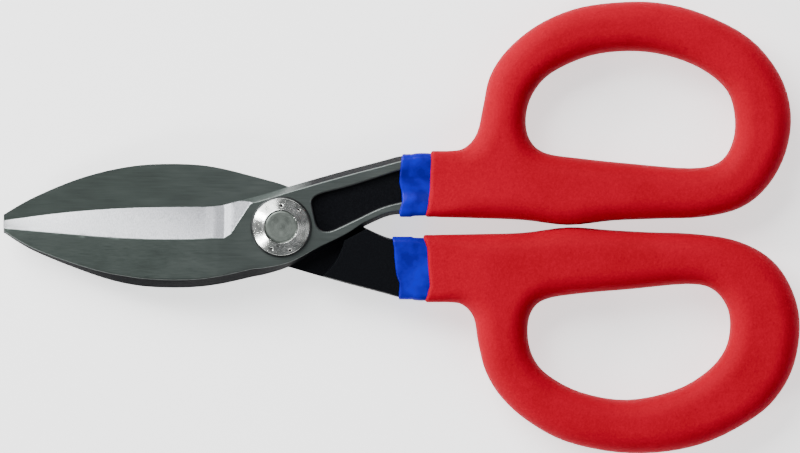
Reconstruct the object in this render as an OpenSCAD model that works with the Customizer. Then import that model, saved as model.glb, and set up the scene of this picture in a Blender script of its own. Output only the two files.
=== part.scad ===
// Tinner's snips, straight pattern, with closed finger loops.
//
// Two drop-forged halves turn on one pivot bolt. Each half is one forging: blade, boss, shank and
// the bar that runs round its loop. Each handle is dipped twice, in a thin undercoat and then in a
// thick grip coat that stops short of it, so that a band of undercoat shows.
//
// Frame: the origin is on the pivot axis at the bolt head's flat underside, on which the closed
// snips rest. +X runs from the pivot to the handles, +Z from the bolt head to the nut.
// A half is drawn with its cutting face in the plane z = 0 and its outer face up. The front half
// lies on the nut's side; the rear half is turned over about the X axis.

/* [Forgings] */
// Thickness of a half at its boss and shank
plate_t = 4; // [3.6:0.1:4.4]
// Thickness of a blade at its tip
tip_t = 1.6; // [1.2:0.1:2.4]
// Height of the upright land along the cutting edge
land_h = 0.5; // [0.3:0.1:0.8]
// Depth of the forged pocket in the shank's outer face
pocket_depth = 1.2; // [0.6:0.1:1.8]
// Radius about the pivot that is kept clear for the other half's boss
clear_r = 14.2; // [13.6:0.1:15]
// Gap between the two cutting faces
face_gap = 0.04; // [0.02:0.01:0.1]

/* [Pivot] */
// Diameter of the bolt's shank
bolt_d = 7.2; // [6.4:0.1:7.6]
// Width across the two flats of the bolt's neck
neck_w = 6.2; // [5.6:0.1:6.2]
// Diameter of the bolt's head
head_d = 12.4; // [11:0.1:14]
// Thickness of the bolt's head
head_h = 2; // [1.6:0.1:2.4]
// Diameter of the round nut
nut_d = 12.7; // [12:0.1:13]
// Height of the nut
nut_h = 2.6; // [2.2:0.1:3]
// Diameter of the washer under the nut
washer_d = 13.6; // [13.2:0.1:14.4]
// Thickness of the washer under the nut
washer_h = 0.4; // [0.3:0.1:0.6]
// Radial running clearance of the front half on the bolt
running_gap = 0.05; // [0.02:0.01:0.1]

/* [Grips] */
// Thickness of the undercoat
undercoat_t = 0.5; // [0.3:0.1:0.6]
// Thickness of the grip coat beside the bar
grip_t = 1.4; // [1.2:0.1:1.6]
// Radius of the grip coat's rounded edges
grip_round = 4; // [3:0.1:4.2]
// Distance from the pivot to the undercoat's edge
undercoat_x = 26; // [25:0.5:28]
// Distance from the pivot to the grip coat's edge
grip_x = 33; // [31:0.5:35]

/* [Hidden] */

cut_z = head_h + plate_t;              // height of the cutting plane
grip_half_h = cut_z;                   // the grips rest on the same plane as the bolt head
pair_top = cut_z + plate_t;            // outer face of the front half
bolt_recess = 0.2;                     // how far the bolt's end stands below the nut's crown
bolt_top = pair_top + washer_h + nut_h - bolt_recess;
bolt_r = bolt_d / 2;
head_chamfer = 0.6;
neck_gap = 0.02;                       // between the bolt's neck and the rear half's keyed hole
nut_rim_h = 0.35 * nut_h;              // height of the nut's upright rim
nut_crown_w = 0.7;                     // width of the flat crown round the nut's hole
pass = 1;                              // how far a cutter runs past a face
reach = 120;                           // side of a cutter that takes away everything beyond a line
belly_corner = [18.9, 0.2];            // where the handle's inner side starts, past the other shank
belly_angle = 28;                      // slope of that side, along the other half's shank
bar_x = 24;                            // where the handle's bar takes over from the shank
shank_x = grip_x - undercoat_t - 0.2;  // end of the shank's full width, just short of the grip coat
FRONT = 0;
REAR = 1;

// Outlines, one per half where the two forgings differ, as [x, y] in the half's own plan.
// Cutting edge, from the tip to the heel, where the ground bevel starts to run out
EDGE = [[-62, 1.4], [-49, 3.1], [-36, 4.1], [-24, 4.4], [-14.8, 4.4]];
HEEL = [[-12.6, 4.9], [-9.3, 5.8], [-4.4, 7.1]];
// Line where the bevel meets the outer face, then its run-out up to the heel
BEVEL = [[-62, -0.3], [-49, -1.5], [-36, -2.5], [-24, -2.8], [-14, -2.5]];
RUN_OUT = [[-11.5, -1.4], [-9.3, 1.4], [-7, 4.4], [-4.4, 6.9]];
// Back of the blade, at the cutting face
BACK = [[[-62, -1.3], [-56, -5.1], [-46, -9.3], [-36, -12.6], [-27, -13.7], [-16, -13.3],
         [-4.4, -10.8]],
        [[-62, -2.8], [-56, -6.3], [-46, -10.6], [-36, -13.3], [-27, -14.2], [-16, -13.7],
         [-4.4, -10.9]]];
// How far the drafted back leans in by the outer face
DRAFT = [[-62, 0.3], [-45, 0.9], [-34, 1.8], [-4.4, 1.7]];
// Boss and shank, counter-clockwise from the belly
SHANK = [[-6, -11.25], [1.2, -9.1], [8.6, -5.3], [15.3, -2], [18.4, 0.1], [24.4, 2.6],
         [shank_x, 3], [shank_x, 15.9], [26.4, 15.8], [22, 14.6], [15.3, 12.85], [8.6, 11],
         [1.4, 8.9], [-6, 6.6]];
// Outside of the grip coat, from its edge round the loop and back
GRIP = [[[grip_x, 2.2], [44, 1.9], [54, 1.5], [64, 0.4], [74, 1.4], [84, 1.8], [94, 2.2],
         [102.5, 4.3], [108.5, 9.2], [112.5, 16.7], [113.6, 25.4], [111, 34.1], [104.3, 42.1],
         [94, 47.5], [84, 50], [74, 50], [65, 48.5], [56.8, 44.8], [50.3, 39.4], [46.5, 33.6],
         [45, 27], [43.6, 20.9], [40.8, 17.6], [37, 16.9], [grip_x, 16.9]],
        [[grip_x, 1.8], [44, 1.6], [54, 1.3], [64, 0.1], [73, 0.7], [82, 1.2], [91, 1.5],
         [100, 2.7], [106.8, 5.5], [111.5, 9.8], [114.6, 16], [115.6, 22.5], [114.4, 30.4],
         [111.2, 36.9], [105.9, 42.2], [96, 47.6], [86, 50.1], [75, 50.3], [63.5, 47.9],
         [55.2, 43.5], [49.2, 38.2], [45.6, 32.4], [43.9, 26], [42.9, 20.3], [40.4, 17.4],
         [37, 16.8], [grip_x, 16.8]]];
// Finger opening inside the grip coat
OPENING = [[[54.5, 24.2], [55.4, 19.4], [58.8, 16.5], [66.4, 15.3], [78, 14.1], [91, 13.1],
            [97.4, 14.3], [100.4, 18.2], [101.2, 24], [99.4, 30.4], [93.6, 35.3], [85.6, 38.3],
            [77.4, 39.2], [68.6, 38.1], [60.2, 34.3], [56, 29.6]],
           [[54.9, 23.6], [55.7, 19], [58.8, 16.2], [66.4, 14.9], [78, 13.9], [90, 12.8],
            [95.8, 13.7], [99.2, 17.4], [100.1, 22.1], [98.9, 27.5], [94.8, 32.4], [87.6, 36.5],
            [77, 38.6], [66.8, 36.9], [59.4, 33], [56, 28.8]]];
GRIP_CENTRE = [62, 9];
OPENING_CENTRE = [77, 25];
// Forged pocket in the shank's outer face, open end under the undercoat
POCKET = [[6.4, 5.7], [7.6, 0.3], [8.3, -0.8], [9.8, -1.4], [11.5, -1], [15.3, 0.8], [22, 4],
          [30, 6.6], [30, 13.3], [26.4, 12.8], [15.3, 9.3], [8.8, 7.6], [7.2, 6.9]];

// Catmull-Rom curve between b and c, at u from 0 to 1
function curve_point(a, b, c, d, u) =
    (2 * b + (c - a) * u + (2 * a - 5 * b + 4 * c - d) * u * u
     + (3 * b - a - 3 * c + d) * u * u * u) / 2;

// Closed curve through the points, with n steps from each to the next
function closed_curve(pts, n) =
    let (count = len(pts))
    [for (i = [0 : count - 1], j = [0 : n - 1])
        curve_point(pts[(i + count - 1) % count], pts[i], pts[(i + 1) % count],
                    pts[(i + 2) % count], j / n)];

// Open curve through the points, with n steps from each to the next
function open_curve(pts, n) =
    let (last = len(pts) - 1)
    [for (i = [0 : last], j = [0 : i < last ? n - 1 : 0])
        curve_point(pts[max(i - 1, 0)], pts[i], pts[min(i + 1, last)], pts[min(i + 2, last)], j / n)];

// Outward normal of the edge from a to b on a counter-clockwise outline
function edge_normal(a, b) = [b[1] - a[1], a[0] - b[0]] / norm(b - a);

// Outline moved outward by d, with mitred corners
function shifted(pts, d) =
    let (count = len(pts))
    [for (i = [0 : count - 1])
        let (m = edge_normal(pts[(i + count - 1) % count], pts[i]),
             n = edge_normal(pts[i], pts[(i + 1) % count]))
        pts[i] + d * (m + n) / (1 + m * n)];

// Blade thickness at x: even over the boss, then tapering to the tip
function blade_t(x) = lookup(x, [[-62, tip_t], [-18, plate_t - 0.1], [-14, plate_t]]);

// Height of the edge land at x: low along the edge, then up the run-out to the outer face
function land_at(x) = lookup(x, [[-12.2, land_h], [-4.4, plate_t - 0.05]]);

// Cross-section of a blade at x, counter-clockwise seen from the handles
function blade_section(x, edge, bevel, back) =
    let (t = blade_t(x), y = lookup(x, back))
    [[x, y, 0], [x, lookup(x, edge), 0], [x, lookup(x, edge), land_at(x)],
     [x, lookup(x, bevel), t], [x, y + lookup(x, DRAFT), t]];

// Puts a piece drawn in a half's own frame into its place in the snips
module placed(half) {
    translate([0, 0, cut_z])
        rotate([half == REAR ? 180 : 0, 0, 0])
            children();
}

// Ground blade of a half, lofted from the tip to the boss
module blade(half) {
    edge = concat(open_curve(EDGE, 4), open_curve(HEEL, 2));
    bevel = concat(open_curve(BEVEL, 4), open_curve(RUN_OUT, 3));
    back = open_curve(BACK[half], 4);
    stations = concat([for (x = [-62 : 3 : -15]) x], [-13.6, -12.2, -11, -9.8, -8.6, -7.4, -6.2, -4.4]);
    sections = [for (x = stations) blade_section(x, edge, bevel, back)];
    last = len(stations) - 1;
    polyhedron(
        [for (s = sections, p = s) p],
        [[0, 1, 2, 3, 4],
         for (i = [0 : last - 1], j = [0 : 4])
             let (a = 5 * i + j, b = 5 * i + (j + 1) % 5)
             each [[a, a + 5, b], [b, a + 5, b + 5]],
         [for (j = [4 : -1 : 0]) 5 * last + j]]);
}

// Plan of the steel bar inside the coats, run on towards the pivot, grown by d all round
module bar_plan(half, d) {
    inset = d - undercoat_t - grip_t;
    outline = grip_outline(half, inset);
    difference() {
        polygon(concat([[bar_x, outline[0][1]]], outline, [[bar_x, outline[len(outline) - 1][1]]]));
        polygon(shifted(closed_curve(OPENING[half], 4), -inset));
    }
}

// Shank and bar through the handle's full thickness, clear of the other half's boss and shank
module handle_plan(half, d) {
    difference() {
        union() {
            polygon(shifted(SHANK, d));
            bar_plan(half, d);
        }
        circle(clear_r, $fn = 96);
        translate(belly_corner)
            rotate(180 - belly_angle)
                square(reach);
    }
}

// One forging, with its pocket, before the pivot hole is made
module forging(half) {
    difference() {
        union() {
            translate([0, 0, face_gap / 2])
                blade(half);
            translate([0, 0, face_gap / 2])
                linear_extrude(plate_t - face_gap / 2)
                    polygon(SHANK);
            handle_core(half, 0);
        }
        pocket();
    }
}

// Full-thickness part of a half's handle, grown by d all round
module handle_core(half, d) {
    translate([0, 0, -plate_t - d])
        linear_extrude(2 * (plate_t + d))
            handle_plan(half, d);
}

// Outside of the grip coat moved outward by d, with its open end kept at the coat's edge
function grip_outline(half, d) =
    let (pts = open_curve(GRIP[half], 4), last = len(pts) - 1)
    [for (i = [0 : last])
        let (m = i == 0 ? [0, -1] : i == last ? [0, 1] : edge_normal(pts[i - 1], pts[i]),
             n = i == 0 || i == last ? m : edge_normal(pts[i], pts[i + 1]))
        pts[i] + d * (m + n) / (1 + m * n)];

// Depth and height of each ring round the grip coat's edge, from its lower face to its upper face
ROUNDING = [for (end = [-1, 1], u = end < 0 ? [-90, -60, -30, 0] : [0, 30, 60, 90])
    [grip_round * (1 - cos(u)), end * (grip_half_h - grip_round) + grip_round * sin(u)]];

// Solid through a stack of rings of [x, y] points; the centre can see all of both end rings
module ring_stack(rings, heights, centre) {
    n = len(rings[0]);
    top = (len(rings) - 1) * n;
    low_centre = len(rings) * n;
    polyhedron(
        concat([for (k = [0 : len(rings) - 1], p = rings[k]) [p[0], p[1], heights[k]]],
               [for (z = [heights[0], heights[len(rings) - 1]]) [centre[0], centre[1], z]]),
        [for (k = [0 : len(rings) - 2], i = [0 : n - 1])
            let (a = k * n + i, b = k * n + (i + 1) % n)
            each [[a, a + n, b], [b, a + n, b + n]],
         for (i = [0 : n - 1])
            let (j = (i + 1) % n)
            each [[low_centre, i, j], [low_centre + 1, top + j, top + i]]]);
}

// Solid inside the grip coat's outside, with rounded upper and lower edges
module grip_body(half) {
    ring_stack([for (r = ROUNDING) grip_outline(half, -r[0])], [for (r = ROUNDING) r[1]], GRIP_CENTRE);
}

// Cutter for the finger opening, whose end rings carry the rounding on past the coat's faces
module opening_cutter(half) {
    last = len(ROUNDING) - 1;
    flare = [2 * ROUNDING[0] - ROUNDING[1],
             for (i = [1 : last - 1]) ROUNDING[i],
             2 * ROUNDING[last] - ROUNDING[last - 1]];
    ring_stack([for (r = flare) shifted(closed_curve(OPENING[half], 4), r[0])],
               [for (r = flare) r[1]], OPENING_CENTRE);
}

// Forged pocket
module pocket() {
    translate([0, 0, plate_t - pocket_depth])
        linear_extrude(pocket_depth + pass)
            polygon(POCKET);
}

// Space beyond x, towards the handle's end
module beyond(x) {
    translate([x, -reach / 2, -reach / 2])
        cube(reach);
}

// Bolt neck with two flats, grown by d all round
module neck(d, h) {
    intersection() {
        cylinder(h, r = bolt_r + d, $fn = 64);
        translate([-bolt_d, -neck_w / 2 - d, 0])
            cube([2 * bolt_d, neck_w + 2 * d, h]);
    }
}

module front_blade() {
    color("#4f5856")
        placed(FRONT)
            difference() {
                forging(FRONT);
                translate([0, 0, -pass])
                    cylinder(plate_t + 2 * pass, r = bolt_r + running_gap, $fn = 64);
            }
}

module rear_blade() {
    color("#4a524f")
        placed(REAR)
            difference() {
                forging(REAR);
                translate([0, 0, -pass])
                    neck(neck_gap, plate_t + 2 * pass);
            }
}

module pivot_bolt() {
    color("#757f77") {
        rotate_extrude($fn = 96)
            polygon([[0, 0], [head_d / 2 - head_chamfer, 0], [head_d / 2, head_chamfer],
                     [head_d / 2, head_h], [0, head_h]]);
        translate([0, 0, head_h])
            neck(0, plate_t);
        translate([0, 0, cut_z])
            cylinder(bolt_top - cut_z, r = bolt_r, $fn = 64);
    }
}

module pivot_washer() {
    color("#2c2f2f")
        translate([0, 0, pair_top + face_gap / 2])
            difference() {
                cylinder(washer_h - face_gap / 2, d = washer_d, $fn = 96);
                translate([0, 0, -pass])
                    cylinder(washer_h + 2 * pass, r = bolt_r, $fn = 64);
            }
}

module pivot_nut() {
    color("#dfe3e1")
        translate([0, 0, pair_top + washer_h])
            rotate_extrude($fn = 96)
                polygon([[bolt_r, 0], [nut_d / 2, 0], [nut_d / 2, nut_rim_h],
                         [bolt_r + nut_crown_w, nut_h], [bolt_r, nut_h]]);
}

module undercoat(half) {
    placed(half)
        difference() {
            intersection() {
                handle_core(half, undercoat_t);
                beyond(undercoat_x);
            }
            difference() {
                handle_core(half, 0);
                pocket();
            }
        }
}

module grip(half) {
    placed(half)
        difference() {
            grip_body(half);
            opening_cutter(half);
            handle_core(half, undercoat_t);
        }
}

module front_undercoat() {
    color("#0f26dc") undercoat(FRONT);
}

module rear_undercoat() {
    color("#0f25c9") undercoat(REAR);
}

module front_grip() {
    color("#bd1b22") grip(FRONT);
}

module rear_grip() {
    color("#c41c1c") grip(REAR);
}

front_blade();
rear_blade();
pivot_bolt();
pivot_washer();
pivot_nut();
front_undercoat();
rear_undercoat();
front_grip();
rear_grip();
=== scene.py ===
"""Tinner's snips: detailed meshes and materials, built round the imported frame.

Each half is worked out in its own plan, in millimetres: x runs from the pivot to the handles,
the cutting face is at w = 0 and the outer face is up. The rear half is the front half's plan
turned over about the X axis. Outlines and blade sections are read from the frame's own nodes.
A piece is a plan region between two height functions, sampled closely only where they bend.
"""

import math

import bmesh
import bpy
import numpy as np
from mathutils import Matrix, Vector, noise
from mathutils.geometry import delaunay_2d_cdt
from mathutils.kdtree import KDTree


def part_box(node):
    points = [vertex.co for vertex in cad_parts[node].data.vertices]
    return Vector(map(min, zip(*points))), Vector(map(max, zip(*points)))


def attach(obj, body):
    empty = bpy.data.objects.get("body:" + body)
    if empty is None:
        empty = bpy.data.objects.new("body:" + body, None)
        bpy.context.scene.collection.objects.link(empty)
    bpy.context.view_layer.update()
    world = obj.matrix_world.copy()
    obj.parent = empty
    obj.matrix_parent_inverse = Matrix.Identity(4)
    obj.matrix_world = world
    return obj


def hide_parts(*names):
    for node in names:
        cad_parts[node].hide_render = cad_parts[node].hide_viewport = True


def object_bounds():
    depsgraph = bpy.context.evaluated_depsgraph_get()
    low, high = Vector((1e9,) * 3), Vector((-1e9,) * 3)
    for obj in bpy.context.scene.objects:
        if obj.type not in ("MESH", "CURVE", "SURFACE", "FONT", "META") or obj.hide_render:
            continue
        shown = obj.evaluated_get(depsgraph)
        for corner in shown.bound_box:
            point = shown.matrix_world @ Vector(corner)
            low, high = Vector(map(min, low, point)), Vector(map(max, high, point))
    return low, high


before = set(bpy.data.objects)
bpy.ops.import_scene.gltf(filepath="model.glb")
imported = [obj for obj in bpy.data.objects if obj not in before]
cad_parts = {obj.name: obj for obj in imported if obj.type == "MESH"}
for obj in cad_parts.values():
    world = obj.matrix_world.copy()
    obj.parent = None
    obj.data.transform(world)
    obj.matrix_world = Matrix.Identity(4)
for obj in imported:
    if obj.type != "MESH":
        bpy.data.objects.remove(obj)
CAD_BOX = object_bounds()
MM = 0.001
BODY = {"front": "front_half", "rear": "rear_half"}
TURN = {"front": 1, "rear": -1}


def top_and_bottom(node):
    """Height range of a CAD node, in millimetres."""
    low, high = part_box(node)
    return low.z / MM, high.z / MM


def half_height(node):
    """Half of a CAD node's height, in millimetres."""
    low, high = top_and_bottom(node)
    return (high - low) / 2


BLADE_LOW, BLADE_HIGH = top_and_bottom("front_blade")
CUT = (BLADE_LOW + BLADE_HIGH) / 2  # height of the cutting plane
PLATE = half_height("front_blade")  # thickness of one half at the pivot
GRIP_HALF = half_height("front_grip")
COAT_HALF = half_height("front_undercoat")
TIP_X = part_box("front_blade")[0].x / MM
COAT_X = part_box("front_undercoat")[0].x / MM
GRIP_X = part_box("front_grip")[0].x / MM
FACE_GAP = 0.02  # from the cutting plane to a half's inner face

NO_CORNER = 180  # as a corner's least angle, smooths every corner

# Forging, in the half's own plan
HEEL_X = -15  # where the ground edge ends
PARTING = 0.35  # height of the trimmed parting line round the outline
RUN_OUT = [(-12.8, 0.3), (-11.3, 0.75), (-7, 0.33), (-4, 0.8)]  # slopes of the run-out from each x
BACK_DRAFT = 1.75  # width of the drafted wall round the boss
BACK_DRAFT_X = -6
BELLY_DRAFT = 0.8  # and along the shank's belly
TOP_DRAFT = 1.2  # and along its upper edge, from where the cutting edge has ended
TOP_DRAFT_X = (-9.6, -6.4)
WIPED_X = (2, 7)  # over this stretch that wall turns from half ground to black
SHANK_X = 3
SHANK_SLOPE, SHANK_RISE = 0.42, 3  # the line along the shank's middle
BORE_REACH = 4.5  # no wall slopes this near the pivot
LEAST_WALL = 0.1  # a narrower wall is upright
GROUND_WAY, GROUND_END = (0.5, 0.86), 5  # the inner face is ground this far in that direction
POCKET_WALL = 0.45  # width of the pocket's sloping wall
POCKET_HOLD_X = 28  # beyond this the pocket runs on at the same width
POCKET_AREA = 180  # about, among the loops cut through a forging
POCKET_CUT = 0.3  # depth at which the pocket's outline is read
SHOULDER_WALL = 0.3

STRUCK_DEPTH = 0.4  # depth of a full stake mark on the nut

# Coats
COAT_ROUND, COAT_LIP = 1.5, 0.5  # rounding of the thin coat's sides, and of its own edge
GRIP_ROUND, GRIP_LIP = 2.2, 0.85  # and of the grip coat's
GRIP_SWELL, GRIP_SWELL_X = 2.9, 14  # the grip's rounding grows by this over this length
GRIP_STEP = 0.72  # height of the grip coat's edge above the thin coat
GRIP_POWER = 2.3  # squareness of the grip's rounding; 2 is a circle
SAG, SAG_RIM, SAG_WAY = 0.7, 0.6, 3.2  # the thin coat sinks so far over the pocket
SKIN = 0.04  # the meshes stay this far within the CAD's height
UNEVEN, UNEVEN_SIZE = 0.09, 9  # depth and size of the grip's slow swells
LEAST_HEIGHT = 0.2

# Where each coat's edge lies, as (y, x) across the handle
COAT_EDGE = {
    "front": [(1, 26.4), (3.4, 26.3), (5.8, 26.9), (7.8, 26.8), (9.8, 26.3), (13.1, 26.5), (16, 26.9)],
    "rear": [(1, 24.7), (2.5, 24.7), (4.7, 25.1), (7.2, 25.2), (10.8, 25.6), (12.5, 26.3), (16, 26.1)],
}
GRIP_EDGE = {
    "front": [(1, 32.1), (3, 32.2), (5.3, 32.7), (8.2, 33.1), (14.2, 33.3), (17, 33.3)],
    "rear": [(1, 31.6), (2.6, 31.7), (4.7, 32.4), (8.4, 32.6), (13.2, 33), (16.3, 32.1), (17, 32)],
}


# ---------------------------------------------------------------- outlines from the frame


def local_triangles(node, half):
    """A CAD node's triangles in a half's own plan, as an array of shape (n, 3, 3)."""
    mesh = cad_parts[node].data
    mesh.calc_loop_triangles()
    points = np.array([v.co for v in mesh.vertices]) / MM
    turn = TURN[half]
    points = np.stack([points[:, 0], turn * points[:, 1], turn * (points[:, 2] - CUT)], axis=1)
    return points[np.array([t.vertices for t in mesh.loop_triangles])]


def cut_segments(triangles, axis, level):
    """Segments where a plane cuts the triangles, each as two points in the plane's other two axes."""
    keep = [i for i in range(3) if i != axis]
    above = triangles[:, :, axis] > level
    crossed = above.any(1) & ~above.all(1)
    found = []
    for tri, up in zip(triangles[crossed], above[crossed]):
        ends = []
        for i, j in ((0, 1), (1, 2), (2, 0)):
            if up[i] != up[j]:
                a, b = (tri[i], tri[j]) if tuple(tri[i]) < tuple(tri[j]) else (tri[j], tri[i])
                share = (level - a[axis]) / (b[axis] - a[axis])
                ends.append((a + share * (b - a))[keep])
        found.append(ends)
    return found


def cut_loops(triangles, axis, level):
    """Closed counter-clockwise loops where a plane cuts a closed set of triangles, largest first."""

    def key(p):
        return int(round(p[0] * 2000)), int(round(p[1] * 2000))

    near, place = {}, {}
    for a, b in cut_segments(triangles, axis, level):
        ka, kb = key(a), key(b)
        if ka != kb:
            place[ka], place[kb] = a, b
            near.setdefault(ka, []).append(kb)
            near.setdefault(kb, []).append(ka)
    loops = []
    while near:
        start = next(iter(near))
        loop, at, last = [start], start, None
        while True:
            onward = [k for k in near[at] if k != last]
            if not onward or onward[0] == start or onward[0] in loop[-3:]:
                break
            last, at = at, onward[0]
            loop.append(at)
        for k in loop:
            del near[k]
        points = np.array([place[k] for k in loop])
        loops.append(points if area(points) > 0 else points[::-1])
    return sorted(loops, key=area, reverse=True)


def area(loop):
    x, y = loop[:, 0], loop[:, 1]
    return 0.5 * float(np.sum(x * np.roll(y, -1) - y * np.roll(x, -1)))


def turns(loop):
    """How sharply a closed loop turns at each point, in degrees."""
    ahead, behind = np.roll(loop, -1, 0) - loop, loop - np.roll(loop, 1, 0)
    turn = np.arctan2(ahead[:, 1], ahead[:, 0]) - np.arctan2(behind[:, 1], behind[:, 0])
    return np.abs(np.degrees((turn + np.pi) % (2 * np.pi) - np.pi))


def without_short_steps(loop, shortest, corner):
    """The loop without points that follow closely on another, and without notches."""
    sharp = loop[turns(loop) > corner]
    kept = []
    for p, turn in zip(loop, turns(loop)):
        alone = turn > corner and (np.hypot(*(sharp - p).T) < shortest).sum() == 1
        if kept and np.hypot(*(p - kept[-1])) <= shortest:
            if alone:
                kept[-1] = p
        else:
            kept.append(p)
    if np.hypot(*(kept[0] - kept[-1])) <= shortest:
        kept.pop()
    return np.array(kept)


def smooth_loop(loop, step, corner=32.0, shortest=0.25):
    """Closed curve through the loop's points, about a step apart, with sharp corners kept."""
    p = without_short_steps(loop, shortest, corner)
    sharp = turns(p) > corner
    out = []
    for i in range(len(p)):
        j = (i + 1) % len(p)
        a = 2 * p[i] - p[j] if sharp[i] else p[i - 1]
        d = 2 * p[j] - p[i] if sharp[j] else p[(j + 1) % len(p)]
        out.extend(curve_between(a, p[i], p[j], d, step))
    return np.array(out)


def relaxed(loop, passes, corner=32.0):
    """The loop with small kinks smoothed out, and its sharp corners left where they are."""
    fixed = (turns(loop) > corner)[:, None]
    for _ in range(passes):
        softened = loop / 2 + (np.roll(loop, 1, 0) + np.roll(loop, -1, 0)) / 4
        loop = np.where(fixed, loop, softened)
    return loop


def curve_between(a, b, c, d, step):
    """Points from b up to, but not on, c along the centripetal curve through a, b, c, d."""
    t = np.cumsum([0] + [math.sqrt(np.hypot(*(q - p))) for p, q in ((a, b), (b, c), (c, d))])
    count = max(1, int(round(np.hypot(*(c - b)) / step)))
    out = []
    for k in range(count):
        u = t[1] + (t[2] - t[1]) * k / count
        ab = a + (b - a) * (u - t[0]) / (t[1] - t[0])
        bc = b + (c - b) * (u - t[1]) / (t[2] - t[1])
        cd = c + (d - c) * (u - t[2]) / (t[3] - t[2])
        abc = ab + (bc - ab) * (u - t[0]) / (t[2] - t[0])
        bcd = bc + (cd - bc) * (u - t[1]) / (t[3] - t[1])
        out.append(abc + (bcd - abc) * (u - t[1]) / (t[2] - t[1]))
    return out


class Outline:
    """Loops that bound a plan region: the outer one counter-clockwise, holes clockwise."""

    def __init__(self, outer, holes=(), value=None):
        self.loops = [outer] + [h[::-1] for h in holes]
        self.start = np.concatenate(self.loops)
        self.end = np.concatenate([np.roll(l, -1, 0) for l in self.loops])
        firsts = np.cumsum([0] + [len(l) for l in self.loops])
        self.before = np.concatenate(
            [np.roll(np.arange(a, b), 1) for a, b in zip(firsts[:-1], firsts[1:])])
        self.after = np.concatenate(
            [np.roll(np.arange(a, b), -1) for a, b in zip(firsts[:-1], firsts[1:])])
        self.value = None if value is None else np.array([value(*p) for p in self.start])
        self.tree = KDTree(len(self.start))
        for i, (x, y) in enumerate(self.start):
            self.tree.insert((x, y, 0), i)
        self.tree.balance()

    def nearest(self, points):
        """Distance to the outline and the value carried by its nearest point."""
        at = np.array([self.tree.find((x, y, 0))[1] for x, y in points])
        best = np.full(len(points), np.inf)
        value = np.zeros(len(points))
        for i in (at, self.before[at]):
            a, along = self.start[i], self.end[i] - self.start[i]
            u = np.clip(((points - a) * along).sum(1) / (along ** 2).sum(1), 0, 1)
            d = np.hypot(*(points - a - u[:, None] * along).T)
            closer = d < best
            best = np.where(closer, d, best)
            if self.value is not None:
                here = self.value[i] * (1 - u) + self.value[self.after[i]] * u
                value = np.where(closer, here, value)
        return best, value

    def inside(self, points):
        """Whether each point lies in the region."""
        crossings = np.zeros(len(points), int)
        x, y = points[:, :1], points[:, 1:]
        for part in np.array_split(np.arange(len(self.start)), 1 + len(self.start) // 200):
            (ax, ay), (bx, by) = self.start[part].T, self.end[part].T
            spans = (ay > y) != (by > y)
            rise = np.where(by == ay, 1, by - ay)
            crossings += (spans & (x < ax + (y - ay) / rise * (bx - ax))).sum(1)
        return crossings % 2 == 1

    def signed(self, points):
        """Distance to the outline, positive inside."""
        return np.where(self.inside(points), 1, -1) * self.nearest(points)[0]


# ---------------------------------------------------------------- meshes over a plan


def lower_of(a, b, blend):
    """The lower of two heights, with the crease between them rounded over about blend."""
    h = np.clip(0.5 + 0.5 * (b - a) / blend, 0, 1)
    return b * (1 - h) + a * h - blend * h * (1 - h)


def graded_points(outline, height, coarse, fine, tolerance, fine_until):
    """Grid points inside the outline, close together where the height bends."""
    low, high = outline.start.min(0), outline.start.max(0)
    grid = np.meshgrid(*[np.arange(low[i] - coarse / 3, high[i] + coarse, coarse) for i in (0, 1)])
    corners = np.stack([g.ravel() for g in grid], 1)
    size, kept = coarse, []
    unit = np.array([(i, j) for i in (0, 0.5, 1) for j in (0, 0.5, 1)])
    mids = [(1, 0, 2), (3, 0, 6), (5, 2, 8), (7, 6, 8), (4, 0, 8), (4, 2, 6)]
    while True:
        middle = corners + size / 2
        near = outline.inside(middle) | (outline.nearest(middle)[0] < size)
        corners = corners[near]
        if size / 2 < fine:
            kept.append((corners, size))
            break
        sample = (corners[:, None] + unit * size).reshape(-1, 2)
        z = height(sample).reshape(-1, 9)
        bend = np.max([abs(z[:, m] - (z[:, a] + z[:, b]) / 2) for m, a, b in mids], axis=0)
        split = (bend > tolerance) & ((corners[:, 0] < fine_until) | (size > 1.2))
        kept.append((corners[~split], size))
        size /= 2
        corners = (corners[split][:, None] + unit[[0, 1, 3, 4]] * 2 * size).reshape(-1, 2)
    found = {}
    for cells, s in kept:
        for p in (cells[:, None] + unit[[0, 2, 6, 8]] * s).reshape(-1, 2):
            key = (int(round(p[0] * 64)), int(round(p[1] * 64)))
            found[key] = (p[0], p[1], min(s, found.get(key, (0, 0, s))[2]))
    points = np.array(list(found.values()))
    clear = outline.nearest(points[:, :2])[0] > np.minimum(0.45 * points[:, 2], 0.2)
    return points[clear & outline.inside(points[:, :2])][:, :2]


def sheet(outline, interior):
    """Triangles over the outline's points followed by the interior points."""
    points = np.concatenate([outline.start, interior])
    edges = [(i, int(j)) for i, j in enumerate(outline.after)]
    result = delaunay_2d_cdt([Vector(p) for p in points], edges, [], 0, 1e-6, True)
    origin = [ids[0] for ids in result[3]]
    faces = np.array([[origin[i] for i in f] for f in result[2]])
    faces = faces[outline.inside(points[faces].mean(1))]
    (ax, ay), (bx, by), (cx, cy) = points[faces].transpose(1, 2, 0)
    twice = (bx - ax) * (cy - ay) - (by - ay) * (cx - ax)
    faces[twice < 0] = faces[twice < 0][:, ::-1]
    return points, faces[abs(twice) > 1e-6]


def slopes(outline, points, height):
    """Upward normals of a height function, taken just inside the outline at its edge."""
    reach, inward = 0.015, 0.03
    outward = outward_normals(outline)
    at = points.copy()
    at[: len(outward)] -= inward * outward
    n = len(at)
    shift = np.array([(reach, 0), (-reach, 0), (0, reach), (0, -reach)])
    z = height((at[None] + shift[:, None]).reshape(-1, 2)).reshape(4, n)
    normal = np.stack([(z[1] - z[0]) / (2 * reach), (z[3] - z[2]) / (2 * reach), np.ones(n)], 1)
    return normal / np.linalg.norm(normal, axis=1)[:, None]


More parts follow.
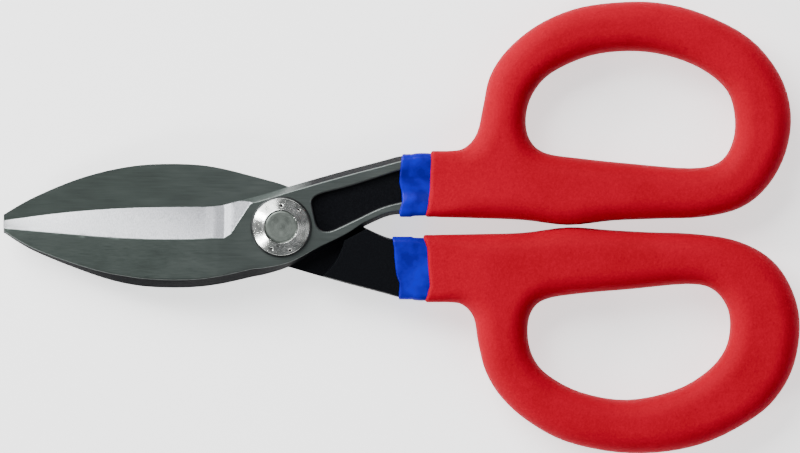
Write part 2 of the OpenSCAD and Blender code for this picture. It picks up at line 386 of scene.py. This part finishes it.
def outward_normals(outline):
    """Outward plan normals at an outline's points."""
    along = outline.end - outline.start
    along /= np.hypot(*along.T)[:, None]
    along = along + along[outline.before]
    along /= np.hypot(*along.T)[:, None]
    return np.stack([along[:, 1], -along[:, 0]], 1)


def plan_solid(name, half, outline, top, bottom, grading, marks=None):
    """Closed solid over a plan region between two height functions, shaded by their slopes."""
    upper = sheet(outline, graded_points(outline, top, *grading))
    lower = sheet(outline, graded_points(outline, bottom, *grading))
    rim = len(outline.start)
    tops = np.column_stack([upper[0], top(upper[0])])
    bottoms = np.column_stack([lower[0], bottom(lower[0])])
    first = len(tops)
    here, after = np.arange(rim), outline.after
    walls = np.stack([first + here, first + after, after, here], 1)
    verts = np.concatenate([tops, bottoms])
    faces = upper[1].tolist() + (lower[1][:, ::-1] + first).tolist() + walls.tolist()
    normals = np.concatenate([slopes(outline, upper[0], top), -slopes(outline, lower[0], bottom)])
    side = np.column_stack([outward_normals(outline), np.zeros(rim)])
    corner_normals = np.concatenate([
        normals[upper[1].ravel()], normals[first + lower[1][:, ::-1].ravel()],
        side[np.stack([here, after, after, here], 1).ravel()]])
    obj = new_piece(name, half, verts, faces)
    turned = corner_normals * (1, TURN[half], TURN[half])
    obj.data.normals_split_custom_set(turned.tolist())
    for label, mark in (marks or {}).items():
        values = np.concatenate([mark(upper[0], True), mark(lower[0], False)])
        obj.data.attributes.new(label, "FLOAT", "POINT").data.foreach_set("value", values)
    return obj


def new_piece(name, half, verts, faces):
    """Object from a half's own plan coordinates, put into the frame's coordinates."""
    turn = TURN[half]
    placed = np.stack([verts[:, 0], turn * verts[:, 1], CUT + turn * verts[:, 2]], 1) * MM
    mesh = bpy.data.meshes.new(name)
    mesh.from_pydata(placed.tolist(), [], faces)
    mesh.shade_smooth()
    obj = bpy.data.objects.new(name, mesh)
    bpy.context.scene.collection.objects.link(obj)
    return obj


# ---------------------------------------------------------------- forgings


def blade_sections(triangles):
    """Cutting edge, bevel line, thickness and back of the ground blade at closely spaced x."""
    rows = []
    for x in np.arange(TIP_X + 0.05, HEEL_X, 0.9):
        y, w = np.array([p for s in cut_segments(triangles, 0, x) for p in s]).T
        on_face = w > w.max() - 0.002
        rows.append((x, y.max(), y[on_face].max(), w.max(), y[on_face].min() - y.min()))
    return np.array(rows).T


def forging(half):
    """One forging: ground blade, boss, pocketed shank and the bar round the loop."""
    triangles = local_triangles(f"{half}_blade", half)
    outer, *holes = cut_loops(triangles, 2, PARTING)
    xs, edge, bevel, thick, draft = blade_sections(triangles)
    land = float(cut_height(triangles, xs[len(xs) // 2], edge[len(xs) // 2]))

    def wall_width(x, y):
        """Width of the drafted wall inwards from a point of the outline."""
        if x > SHANK_X:
            return TOP_DRAFT if y > SHANK_SLOPE * x + SHANK_RISE else BELLY_DRAFT
        if y > 0:
            return max(0.02, np.interp(x, TOP_DRAFT_X, (0, TOP_DRAFT)))
        stops = (*xs[::6], BACK_DRAFT_X, SHANK_X)
        return np.interp(x, stops, (*draft[::6], BACK_DRAFT, BELLY_DRAFT))

    outer = relaxed(smooth_loop(outer, 0.4, shortest=0.6), 8)
    outline = Outline(outer, [smooth_loop(h, 0.4) for h in holes], wall_width)
    pocket = pockets[half]
    pocket_depth = PLATE - pocket_floor(triangles, pocket.start)
    thick_loop, *thick_holes = cut_loops(triangles, 2, -PLATE / 4)
    handle = Outline(smooth_loop(thick_loop, 0.4), [smooth_loop(h, 0.4) for h in thick_holes])

    def plate(x):
        return np.interp(x, (*xs, HEEL_X + 1), (*thick, PLATE))

    def surfaces(points):
        """Heights of the outer face, of the wall, of the ground bevel, and depth into the pocket."""
        x, y = points.T
        d, width = outline.nearest(points)
        face = plate(x)
        wall = PARTING + (face - PARTING) * d / width
        upright = (width < LEAST_WALL) | (np.hypot(x, y) < BORE_REACH)
        wall = np.where(upright, face + 1, wall)
        e, b = np.interp(x, xs, edge), np.interp(x, xs, bevel)
        rise = (np.interp(x, xs, thick) - land) / (e - b)
        ends = [start for start, _ in RUN_OUT[1:]] + [np.inf]
        lift = sum(slope * np.clip(x - start, 0, end - start)
                   for (start, slope), end in zip(RUN_OUT, ends))
        ground = land + (e - y) * rise + lift
        return face, wall, np.maximum(ground, PARTING), pocket_depth_in(pocket, points)

    def top(points):
        face, wall, ground, in_pocket = surfaces(points)
        body = lower_of(face, wall, 0.35)
        floor = face - np.clip(in_pocket / POCKET_WALL, -1, 1) * pocket_depth
        floor = -lower_of(-floor, -(face - pocket_depth), 0.3)
        body = lower_of(body, floor, 0.2)
        return np.maximum(lower_of(body, ground, 0.05), PARTING * 0.6)

    def bottom(points):
        into = np.maximum(handle.signed(points), 0)
        deep = lower_of(np.full(len(into), PLATE + FACE_GAP), into * PLATE / SHOULDER_WALL, 0.3)
        return FACE_GAP - np.maximum(deep, 0)

    def bevel_mark(points, outer_side):
        """Above zero on the ground bevel and its run-out."""
        if not outer_side:
            return np.full(len(points), -1.0)
        face, wall, ground, _ = surfaces(points)
        return np.clip(np.minimum(face, wall) - ground, -1, 1)

    def scale_mark(points, outer_side):
        """Above zero on the black forged skin: walls, pocket and the handle's inner side."""
        if not outer_side:
            past = points @ GROUND_WAY - GROUND_END
            return np.clip(np.maximum(handle.signed(points), past), -1, 1)
        face, wall, _, in_pocket = surfaces(points)
        return np.clip(np.maximum(face - wall, in_pocket), -1, 1)

    def wiped_mark(points, outer_side):
        """1 on the upper wall beside the boss, where grinding has thinned the black skin."""
        x, y = points.T
        return np.where(outer_side & (y > 0), 1 - np.clip(np.interp(x, WIPED_X, (0, 1)), 0, 1), 0.0)

    return plan_solid(
        f"{half}_forging", half, outline, top, bottom, (1, 0.12, 0.02, COAT_X + 8),
        {"bevel": bevel_mark, "scale": scale_mark, "wiped": wiped_mark})


def cut_height(triangles, x, edge):
    """Height of the upright land at the cutting edge."""
    y, w = np.array([p for s in cut_segments(triangles, 0, x) for p in s]).T
    return w[y > edge - 0.01].max()


def pocket_outline(half):
    """Plan of the pocket's rim, with its corners rounded off."""
    loops = cut_loops(local_triangles(f"{half}_blade", half), 2, PLATE - POCKET_CUT)
    pocket = min(loops, key=lambda loop: abs(area(loop) - POCKET_AREA))
    return Outline(relaxed(smooth_loop(pocket, 0.3, NO_CORNER), 12, NO_CORNER))


def pocket_depth_in(pocket, points):
    """Distance in from the pocket's rim; the pocket runs on under the grip coat's edge."""
    x, y = points.T
    held = np.column_stack([np.minimum(x, POCKET_HOLD_X), y])
    return np.minimum(pocket.signed(held), GRIP_X + 3 - x)


def pocket_floor(triangles, loop):
    """Height of the flat floor inside a pocket's outline."""
    centre = loop.mean(0)
    flat = triangles[np.ptp(triangles[:, :, 2], axis=1) < 1e-3]
    spots = flat.mean(1)
    near = np.hypot(*(spots[:, :2] - centre).T) < 8
    levels = spots[near & (spots[:, 2] > 1) & (spots[:, 2] < PLATE - POCKET_CUT), 2]
    return float(levels.mean())


# ---------------------------------------------------------------- coats


OPENING_AREA = 500  # a finger opening is larger, and every other hole smaller


def outer_path(node, half, edge_x):
    """Outside of a coat's cut at mid height, from its edge round the loop and back, and the opening."""
    loops = cut_loops(local_triangles(node, half), 2, 0.1)
    shell = loops[0]
    for loop in loops:
        if loop[:, 0].min() < edge_x + 1:
            shell = loop
    ends = np.where(shell[:, 0] < shell[:, 0].min() + 0.02)[0]
    first = ends[np.argmin(shell[ends, 1])]
    shell = np.roll(shell, -first, 0)
    ends = np.where(shell[:, 0] < shell[:, 0].min() + 0.02)[0]
    last = ends[np.argmax(shell[ends, 1])]
    forward, backward = shell[: last + 1], np.concatenate([shell[:1], shell[last:][::-1]])
    path = forward if area(forward) > area(backward) else backward
    opening = min((h for h in loops if h is not shell and area(h) > OPENING_AREA), key=area)
    return path, opening


def coat_outline(node, half, edge_x, edge, rounding, value):
    """Plan of a whole coat: its outside, closed by a wavy, rounded edge, with the finger opening."""
    path, opening = outer_path(node, half, edge_x)
    ys, xs = np.array(edge).T
    low, high = path[0, 1], path[-1, 1]
    lip_y = np.linspace(high, low, 24)
    lip = np.column_stack([np.interp(lip_y, ys, xs), lip_y])
    x, y = path.T
    stepped = (x > GRIP_X - 0.5) & (x < GRIP_X + 4) & (y > low + 0.6) & (y < high)
    body = path[(x > max(xs) + rounding + 1) & ~stepped]
    starts = [np.interp(y, ys, xs) for y in (low, high)]
    head = np.column_stack([np.linspace(starts[0] + rounding, body[0, 0] - 0.5, 6), np.full(6, low)])
    tail = np.column_stack([np.linspace(body[-1, 0] - 0.5, starts[1] + rounding, 6), np.full(6, high)])
    turn = np.linspace(0, np.pi / 2, 6)[1:-1]
    top_corner = np.column_stack([starts[1] + rounding * (1 - np.sin(turn)),
                                  high - rounding * (1 - np.cos(turn))])
    low_corner = np.column_stack([starts[0] + rounding * (1 - np.cos(turn)),
                                  low + rounding * (1 - np.sin(turn))])
    inner = lip[(lip[:, 1] < high - rounding) & (lip[:, 1] > low + rounding)]
    loop = np.concatenate([body, tail, top_corner, inner, low_corner, head])
    smooth = smooth_loop(loop, 0.5, NO_CORNER)
    return Outline(smooth, [smooth_loop(opening, 0.5, NO_CORNER)], value)


def eased(share):
    """A share held between 0 and 1, with a soft start and end."""
    held = np.clip(share, 0, 1)
    return held * held * (3 - 2 * held)


def rounded_drop(distance, radius, power):
    """How far a rounded edge has fallen below its face at a distance in from the outline."""
    near = np.clip(1 - distance / radius, 0, 1)
    return radius * (1 - (1 - near ** power) ** (1 / power))


def coat_solid(half, kind):
    """Outside of the thin coat or of the grip coat, filled in; the inside is cut out later."""
    node = f"{half}_{kind}"
    thin = kind == "undercoat"
    edge = COAT_EDGE[half] if thin else GRIP_EDGE[half]
    lip = COAT_LIP if thin else GRIP_LIP
    ys, xs = np.array(edge).T

    def mark_sides(x, y):
        """1 on the outline's sides, 0 on the coat's own edge."""
        return 0.0 if x < np.interp(y, ys, xs) + 0.3 and x < max(xs) + 0.5 else 1.0

    outline = coat_outline(node, half, COAT_X if thin else GRIP_X, edge, lip * 0.6, mark_sides)
    sides = Outline(*side_loops(outline, max(xs) + 12))
    pocket = pockets[half]
    seed = 7.0 if half == "front" else 31.0

    def height(points, outer_side):
        x, y = points.T
        from_edge = np.maximum(x - np.interp(y, ys, xs), 0)
        d = sides.nearest(points)[0]
        if thin:
            over = (pocket_depth_in(pocket, points) + SAG_RIM) / SAG_WAY if outer_side else 0
            z = COAT_HALF - SKIN - SAG * eased(over) - rounded_drop(d, COAT_ROUND, 2)
        else:
            grow = eased((x - GRIP_X) / GRIP_SWELL_X)
            start = COAT_HALF + GRIP_STEP
            z = start + (GRIP_HALF - SKIN - start) * grow
            z = z - rounded_drop(d, GRIP_ROUND + GRIP_SWELL * grow, GRIP_POWER)
            z = z - UNEVEN * uneven(points, UNEVEN_SIZE, seed) * grow
        return np.maximum(z - rounded_drop(from_edge, lip, 2), LEAST_HEIGHT)

    grading = (2, 0.25, 0.02, COAT_X + 10) if thin else (2, 0.4, 0.02, GRIP_X + 200)
    return plan_solid(f"{half}_{kind}_coat", half, outline, lambda p: height(p, True),
                      lambda p: -height(p, False), grading)


def side_loops(outline, far):
    """An outline's loops with the coat's own edge moved away towards the pivot."""
    outer = outline.loops[0].copy()
    end = outline.value[: len(outer)] == 0
    outer[end, 0] -= far
    return outer, [h[::-1] for h in outline.loops[1:]]


def uneven(points, size, seed):
    """Slow unevenness from 0 to 1 over the plan, in swells about size wide."""
    return np.array([0.5 + 0.5 * noise.noise((x / size, y / size, seed)) for x, y in points])


def cut_out(piece, inner):
    """Takes the inner solid out of a piece, which leaves a coat."""
    cutter = piece.modifiers.new("inside", "BOOLEAN")
    cutter.operation, cutter.solver, cutter.object = "DIFFERENCE", "MANIFOLD", inner
    depsgraph = bpy.context.evaluated_depsgraph_get()
    mesh = bpy.data.meshes.new_from_object(piece.evaluated_get(depsgraph))
    piece.modifiers.clear()
    return mesh


def turned_piece(name, profile, centre_z, dents=(), segments=160):
    """Solid of revolution about Z from (radius, height) points in mm, with shallow local dents."""
    verts, faces, struck = [], [], []
    count = len(profile)
    for i in range(segments):
        angle = 2 * math.pi * i / segments
        for r, z in profile:
            x, y = r * math.cos(angle), r * math.sin(angle)
            depth = sum(deep * math.exp(-((x - dx) ** 2 + (y - dy) ** 2) / (wide * wide))
                        for dx, dy, wide, deep in dents)
            struck.append(depth / STRUCK_DEPTH)
            verts.append((x * MM, y * MM, (centre_z + z - depth) * MM))
    for i in range(segments):
        a, b = i * count, (i + 1) % segments * count
        for k in range(count):
            m = (k + 1) % count
            if profile[k][0] > 1e-6 or profile[m][0] > 1e-6:
                faces.append((a + k, b + k, b + m, a + m))
    mesh = bpy.data.meshes.new(name)
    mesh.from_pydata(verts, [], faces)
    mesh.attributes.new("struck", "FLOAT", "POINT").data.foreach_set("value", struck)
    edit = bmesh.new()
    edit.from_mesh(mesh)
    bmesh.ops.remove_doubles(edit, verts=edit.verts, dist=1e-7)
    bmesh.ops.recalc_face_normals(edit, faces=edit.faces)
    edit.to_mesh(mesh)
    edit.free()
    mesh.shade_smooth()
    obj = bpy.data.objects.new(name, mesh)
    bpy.context.scene.collection.objects.link(obj)
    return obj


# ---------------------------------------------------------------- finishes


class Finish:
    """A node material, with shorthands for the nodes that the finishes share."""

    def __init__(self, name, metallic, roughness, **sockets):
        self.material = bpy.data.materials.new(name)
        self.material.use_nodes = True
        self.tree = self.material.node_tree
        self.shader = self.tree.nodes["Principled BSDF"]
        self.shader.inputs["Metallic"].default_value = metallic
        self.shader.inputs["Roughness"].default_value = roughness
        for socket, value in sockets.items():
            self.shader.inputs[socket.replace("_", " ")].default_value = value
        self.place = self.node("ShaderNodeTexCoord").outputs["Object"]

    def node(self, kind, **settings):
        made = self.tree.nodes.new(kind)
        for key, value in settings.items():
            setattr(made, key, value)
        return made

    def feed(self, socket, value):
        if isinstance(value, bpy.types.NodeSocket):
            self.tree.links.new(value, socket)
        else:
            socket.default_value = value

    def stretched(self, x, y, z):
        """Object coordinates with this many units to the millimetre along each axis."""
        mapping = self.node("ShaderNodeMapping")
        self.feed(mapping.inputs["Vector"], self.place)
        mapping.inputs["Scale"].default_value = (x / MM, y / MM, z / MM)
        return mapping.outputs["Vector"]

    def noise(self, vector, detail=3.0, rough=0.6):
        """Smooth noise around 0.5, one unit of the vector to a swell."""
        made = self.node("ShaderNodeTexNoise")
        self.feed(made.inputs["Vector"], vector)
        made.inputs["Scale"].default_value = 1.0
        made.inputs["Detail"].default_value = detail
        made.inputs["Roughness"].default_value = rough
        return made.outputs["Fac"]

    def attribute(self, name):
        return self.node("ShaderNodeAttribute", attribute_name=name).outputs["Fac"]

    def ranged(self, value, low, high, to_low=0.0, to_high=1.0):
        """Maps a value from one range to another, clamped."""
        made = self.node("ShaderNodeMapRange")
        for socket, v in zip(made.inputs, (value, low, high, to_low, to_high)):
            self.feed(socket, v)
        return made.outputs["Result"]

    def math(self, operation, a, b=0.0):
        made = self.node("ShaderNodeMath", operation=operation)
        self.feed(made.inputs[0], a)
        self.feed(made.inputs[1], b)
        return made.outputs[0]

    def mixed(self, share, a, b):
        """Colour a where share is 0, b where it is 1."""
        made = self.node("ShaderNodeMix", data_type="RGBA")
        self.feed(made.inputs["Factor"], share)
        self.feed(made.inputs[6], a)
        self.feed(made.inputs[7], b)
        return made.outputs[2]

    def blended(self, share, a, b):
        """Number a where share is 0, b where it is 1."""
        made = self.node("ShaderNodeMix", data_type="FLOAT")
        for socket, v in zip(made.inputs[:1] + made.inputs[2:4], (share, a, b)):
            self.feed(socket, v)
        return made.outputs[0]

    def colour(self, value):
        self.feed(self.shader.inputs["Base Color"], value)

    def set(self, socket, value):
        self.feed(self.shader.inputs[socket], value)

    def bump(self, *layers):
        """Relief from (height, depth in mm) layers, one on another."""
        normal = None
        for height, depth in layers:
            made = self.node("ShaderNodeBump")
            made.inputs["Strength"].default_value = 1.0
            made.inputs["Distance"].default_value = depth * MM
            self.feed(made.inputs["Height"], height)
            if normal:
                self.feed(made.inputs["Normal"], normal)
            normal = made.outputs["Normal"]
        self.set("Normal", normal)


def rgb(r, g, b):
    """Linear colour."""
    return (r, g, b, 1.0)


def forged_steel():
    """Ground faces coloured dark as painted shade and the bevel coloured bright as a painted reflection,
    both the same ground steel, with a black forged skin on what wasn't ground and a painted highlight
    along its rim.
    """
    f = Finish("forged_steel", 1.0, 0.35, Specular_IOR_Level=0.03)
    streaks = f.noise(f.stretched(0.12, 9, 9), 4, 0.65)
    fine = f.noise(f.stretched(0.5, 40, 40), 3, 0.6)
    clouds = f.noise(f.stretched(0.09, 0.2, 0.2), 3, 0.5)
    grain = f.noise(f.stretched(5, 5, 5), 4, 0.7)
    ragged = f.math("MULTIPLY", f.math("SUBTRACT", grain, 0.5), 0.25)
    bevel = f.ranged(f.attribute("bevel"), -0.01, 0.04)
    skin = f.math("MULTIPLY", f.ranged(f.math("ADD", f.attribute("scale"), ragged), 0.06, 0.16),
                  f.ranged(f.attribute("wiped"), 0, 1, 1, 0.35))
    # painted highlight: a light line along the rim of the black skin, where the ground face turns down
    # into the walls
    from_rim = f.math("ABSOLUTE", f.math("SUBTRACT", f.attribute("scale"), 0.06))
    painted_edge_highlight = f.ranged(from_rim, 0.0, 0.16, 1.0, 0.0)
    shade = f.blended(0.45, streaks, f.blended(0.5, fine, clouds))
    along = f.node("ShaderNodeSeparateXYZ")
    f.feed(along.inputs[0], f.place)
    to_handle = f.ranged(along.outputs["X"], -0.03, 0.02)
    from_tip = f.ranged(along.outputs["X"], -0.055, -0.02)
    mottled = f.ranged(shade, 0.3, 0.7)
    # painted shade: the ground faces are coloured dark in place of the dark surroundings that they
    # mirror
    blade_face = f.mixed(mottled, rgb(0.084, 0.104, 0.095), rgb(0.122, 0.146, 0.134))
    shank_face = f.mixed(mottled, rgb(0.115, 0.136, 0.13), rgb(0.155, 0.175, 0.168))
    face = f.mixed(to_handle, blade_face, shank_face)
    face = f.mixed(f.ranged(grain, 0.68, 0.8, 0.0, 0.3), face, rgb(0.2, 0.22, 0.2))
    across = f.ranged(f.noise(f.stretched(6, 0.25, 6), 4, 0.6), 0.3, 0.7)
    # painted reflection: the bevel, ground like the faces, is coloured bright in place of the lamp that
    # it mirrors, brighter towards the tip
    tip_painted_reflection = f.mixed(across, rgb(0.28, 0.29, 0.3), rgb(0.4, 0.41, 0.42))
    mid_painted_reflection = f.mixed(across, rgb(0.155, 0.162, 0.175), rgb(0.3, 0.305, 0.32))
    bright = f.mixed(from_tip, tip_painted_reflection, mid_painted_reflection)
    black = f.mixed(f.ranged(grain, 0.45, 0.8), rgb(0.002, 0.0022, 0.003), rgb(0.008, 0.009, 0.011))
    ground = f.mixed(bevel, face, bright)
    skinned = f.mixed(skin, ground, black)
    # lays the painted edge highlight over the finish
    f.colour(f.mixed(f.math("MULTIPLY", painted_edge_highlight, 0.4), skinned, rgb(0.3, 0.3, 0.3)))
    rough = f.blended(bevel, f.ranged(shade, 0.3, 0.7, 0.3, 0.46), f.ranged(shade, 0.3, 0.7, 0.26, 0.42))
    f.set("Roughness", f.blended(skin, rough, f.ranged(grain, 0.3, 0.7, 0.4, 0.62)))
    f.set("Metallic", f.blended(skin, 1.0, 0.0))
    f.bump((f.math("MULTIPLY", grain, skin), 0.05), (streaks, 0.004), (fine, 0.002))
    return f.material


def blue_vinyl():
    """Glossy thin dip coat, with slow runs and a few pinholes."""
    f = Finish("blue_vinyl", 0.0, 0.3, Specular_IOR_Level=0.07)
    clouds = f.noise(f.stretched(0.25, 0.25, 0.25), 3, 0.5)
    specks = f.noise(f.stretched(3, 3, 3), 4, 0.7)
    f.colour(f.mixed(f.ranged(clouds, 0.35, 0.65), rgb(0.004, 0.0, 0.18), rgb(0.005, 0.0, 0.4)))
    f.set("Roughness", f.ranged(specks, 0.3, 0.7, 0.24, 0.4))
    f.bump((clouds, 0.12), (specks, 0.01))
    return f.material


def red_vinyl():
    """Matte thick dip coat with a fine sandy grain, darker specks and slow mottling."""
    f = Finish("red_vinyl", 0.0, 0.55, Specular_IOR_Level=0.03)
    clouds = f.noise(f.stretched(0.07, 0.07, 0.07), 3, 0.55)
    grain = f.noise(f.stretched(1.9, 1.9, 1.9), 4, 0.75)
    specks = f.noise(f.stretched(1.1, 1.1, 1.1), 2, 0.5)
    base = f.mixed(f.ranged(clouds, 0.3, 0.7), rgb(0.285, 0.0, 0.009), rgb(0.34, 0.0, 0.012))
    spotted = f.mixed(f.ranged(specks, 0.63, 0.75, 0.0, 0.35), base, rgb(0.18, 0.0, 0.006))
    sandy = f.mixed(f.ranged(grain, 0.28, 0.5, 0.3, 0.0), spotted, rgb(0.19, 0.0, 0.006))
    f.colour(f.mixed(f.ranged(grain, 0.5, 0.72, 0.0, 0.5), sandy, rgb(0.42, 0.001, 0.018)))
    f.set("Roughness", f.ranged(grain, 0.3, 0.7, 0.48, 0.66))
    f.bump((clouds, 0.2), (grain, 0.08))
    return f.material


def turned_steel(name, dark, light, roughness, rings):
    """Lathe-turned steel: fine rings about the pivot, smears, small pits, and painted shade in the stake
    marks.
    """
    f = Finish(name, 1.0, roughness)
    spread = f.node("ShaderNodeVectorMath", operation="MULTIPLY")
    f.feed(spread.inputs[0], f.place)
    spread.inputs[1].default_value = (1 / MM, 1 / MM, 0)
    length = f.node("ShaderNodeVectorMath", operation="LENGTH")
    f.feed(length.inputs[0], spread.outputs[0])
    radius = length.outputs["Value"]
    ring = f.node("ShaderNodeTexNoise", noise_dimensions="1D")
    f.feed(ring.inputs["W"], radius)
    ring.inputs["Scale"].default_value = rings
    ring.inputs["Detail"].default_value = 3.0
    smear = f.noise(f.stretched(0.5, 0.5, 0.5), 4, 0.6)
    pits = f.noise(f.stretched(3, 3, 3), 3, 0.6)
    shade = f.blended(0.5, ring.outputs["Fac"], smear)
    turned = f.mixed(f.ranged(shade, 0.35, 0.65), dark, light)
    # painted shade: the stake marks are coloured near black, standing for the shade in them
    f.colour(f.mixed(f.ranged(f.attribute("struck"), 0.12, 0.4), turned, rgb(0.02, 0.02, 0.02)))
    f.set("Roughness", f.ranged(shade, 0.3, 0.7, roughness * 0.8, roughness * 1.25))
    f.bump((ring.outputs["Fac"], 0.006), (f.ranged(pits, 0.3, 0.4), 0.012))
    return f.material


# ---------------------------------------------------------------- pieces


def fitted(piece, finish, body, slot, *nodes):
    """Gives a piece its finish and its body, and hides the CAD nodes that it stands for."""
    piece.data.materials.clear()
    piece.data.materials.append(finish)
    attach(piece, body)
    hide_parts(*nodes)


steel, blue, red = forged_steel(), blue_vinyl(), red_vinyl()
pockets = {}
for half in ("front", "rear"):
    pockets[half] = pocket_outline(half)
    blade = forging(half)
    coat = coat_solid(half, "undercoat")
    grip = coat_solid(half, "grip")
    grip.data = cut_out(grip, coat)
    coat.data = cut_out(coat, blade)
    fitted(blade, steel, BODY[half], "forged_steel", f"{half}_blade")
    fitted(coat, blue, BODY[half], "blue_vinyl", f"{half}_undercoat")
    fitted(grip, red, BODY[half], "red_vinyl", f"{half}_grip")

NUT_LOW, NUT_HIGH = top_and_bottom("pivot_nut")
NUT_H = NUT_HIGH - NUT_LOW
NUT_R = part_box("pivot_nut")[1].x / MM
BOLT_TOP = top_and_bottom("pivot_bolt")[1]
HEAD_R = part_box("pivot_bolt")[1].x / MM
HEAD_H = BLADE_LOW  # the head fills the room under the rear forging
WASHER_LOW, WASHER_HIGH = top_and_bottom("pivot_washer")
WASHER_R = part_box("pivot_washer")[1].x / MM
BOLT_R = 3.6
BORE_GAP, WASHER_GAP = 0.03, 0.02
CONE_FOOT, CONE_RISE = 0.36, 0.63  # start and height of the nut's cone, as shares of the nut
CONE_RUN = NUT_R - BOLT_R - 0.34
DISH = 0.05  # depth of the hollow in the bolt's end
DISH_R = 2.6

# Stake marks and dents, as (x, y, radius, depth)
NUT_DENTS = [(0.1, 4.65, 0.26, 0.45), (4.0, 3.8, 0.22, 0.35), (-2.1, -4.9, 0.26, 0.4),
             (2, -5.2, 0.26, 0.4), (-0.7, -4.2, 0.5, 0.12), (-5.1, 0.2, 0.7, 0.06)]
BOLT_DENTS = [(-1.1, 0.9, 0.8, 0.03), (1.3, -1.0, 1.0, 0.03)]

rim = [(BOLT_R + BORE_GAP, 0), (NUT_R - 0.2, 0), (NUT_R, 0.12), (NUT_R, 0.34 * NUT_H)]
cone = [(NUT_R - 0.08 - CONE_RUN * u, (CONE_FOOT + CONE_RISE * u) * NUT_H)
        for u in np.linspace(0, 1, 24)]
bore = [(BOLT_R + 0.08, NUT_H), (BOLT_R + 0.04, NUT_H - 0.04), (BOLT_R + BORE_GAP, NUT_H - 0.4)]
nut = turned_piece("round_nut", rim + cone + bore, NUT_LOW, NUT_DENTS, 240)
bright = turned_steel("bright_steel", rgb(0.17, 0.19, 0.17), rgb(0.85, 0.86, 0.84), 0.22, 9)
fitted(nut, bright, "rear_half", "bright_steel", "pivot_nut")

head = [(0, 0.12), (HEAD_R - 1.6, 0.0), (HEAD_R - 0.6, 0.02), (HEAD_R - 0.22, 0.16),
        (HEAD_R - 0.04, 0.5), (HEAD_R, 0.8), (HEAD_R, HEAD_H - 0.05), (HEAD_R - 0.05, HEAD_H)]
shaft = [(BOLT_R, HEAD_H), (BOLT_R, BOLT_TOP - 0.3), (BOLT_R - 0.06, BOLT_TOP - 0.12),
         (BOLT_R - 0.2, BOLT_TOP - 0.02), (BOLT_R - 0.5, BOLT_TOP)]
end = [(r, BOLT_TOP - DISH * (1 - r / 3)) for r in np.linspace(DISH_R, 0, 14)]
bolt = turned_piece("pivot_screw", head + shaft + end, 0.0, BOLT_DENTS)
dull = turned_steel("bolt_steel", rgb(0.15, 0.17, 0.155), rgb(0.25, 0.28, 0.255), 0.42, 7)
fitted(bolt, dull, "rear_half", "bolt_steel", "pivot_bolt")

inner_r = BOLT_R + WASHER_GAP
washer = turned_piece("thin_washer", [
    (inner_r, WASHER_LOW), (WASHER_R - 0.05, WASHER_LOW), (WASHER_R, WASHER_LOW + 0.06),
    (WASHER_R, WASHER_HIGH - 0.1), (WASHER_R - 0.1, WASHER_HIGH), (inner_r, WASHER_HIGH)], 0.0)
dark = turned_steel("washer_steel", rgb(0.02, 0.022, 0.022), rgb(0.05, 0.053, 0.053), 0.45, 6)
fitted(washer, dark, "rear_half", "washer_steel", "pivot_washer")


# ---------------------------------------------------------------- floor, light and camera


def studio_light(name, place, target, size, power):
    light = bpy.data.lights.new(name, "AREA")
    light.shape, light.size, light.energy = "SQUARE", size, power
    lamp = bpy.data.objects.new(name, light)
    lamp.location = place
    lamp.rotation_euler = (Vector(target) - Vector(place)).to_track_quat("-Z", "Y").to_euler()
    bpy.context.scene.collection.objects.link(lamp)


middle = Vector(((CAD_BOX[0][0] + CAD_BOX[1][0]) / 2, 0, 0))
FLOOR_HALF = 1.5
FLOOR_DROP = 0.0002  # clear of the grips' undersides
floor_mesh = bpy.data.meshes.new("floor")
corners = [(x * FLOOR_HALF, y * FLOOR_HALF, 0) for x, y in ((-1, -1), (1, -1), (1, 1), (-1, 1))]
floor_mesh.from_pydata(corners, [], [(0, 1, 2, 3)])
floor = bpy.data.objects.new("floor", floor_mesh)
floor.location = (middle.x, 0, -FLOOR_DROP)
bpy.context.scene.collection.objects.link(floor)
paper = Finish("paper", 0.0, 0.9, Specular_IOR_Level=0.1, Emission_Strength=1.2)
paper.shader.inputs["Emission Color"].default_value = rgb(1, 1, 1)
fibres = paper.noise(paper.stretched(0.5, 0.5, 0.5))
paper.colour(paper.mixed(fibres, rgb(0.9, 0.9, 0.9), rgb(0.93, 0.93, 0.93)))
floor_mesh.materials.append(paper.material)

world = bpy.data.worlds.new("studio")
world.use_nodes = True
world.node_tree.nodes["Background"].inputs["Color"].default_value = rgb(0.95, 0.97, 1.0)
world.node_tree.nodes["Background"].inputs["Strength"].default_value = 0.25
bpy.context.scene.world = world
studio_light("key", (-0.5, 0.75, 0.8), middle, 0.8, 26)
studio_light("upper_side", (-0.95, 0.5, 0.46), middle, 0.26, 12.5)
studio_light("lower_side", (-0.9, -0.6, 0.44), middle, 0.26, 11.5)
studio_light("right", (0.9, -0.2, 0.9), middle, 0.8, 3.5)

VIEW_WIDTH = 0.1785  # width of the view at the snips' mid height
VIEW_CENTRE = (0.02644, 0.00007)
CAMERA_RISE = 1.5
SENSOR = 36
lens = bpy.data.cameras.new("camera")
lens.sensor_width, lens.lens = SENSOR, SENSOR * CAMERA_RISE / VIEW_WIDTH
lens.clip_start, lens.clip_end = 0.01, 10
camera = bpy.data.objects.new("camera", lens)
camera.location = (*VIEW_CENTRE, CUT * MM + CAMERA_RISE)
bpy.context.scene.collection.objects.link(camera)
bpy.context.scene.camera = camera
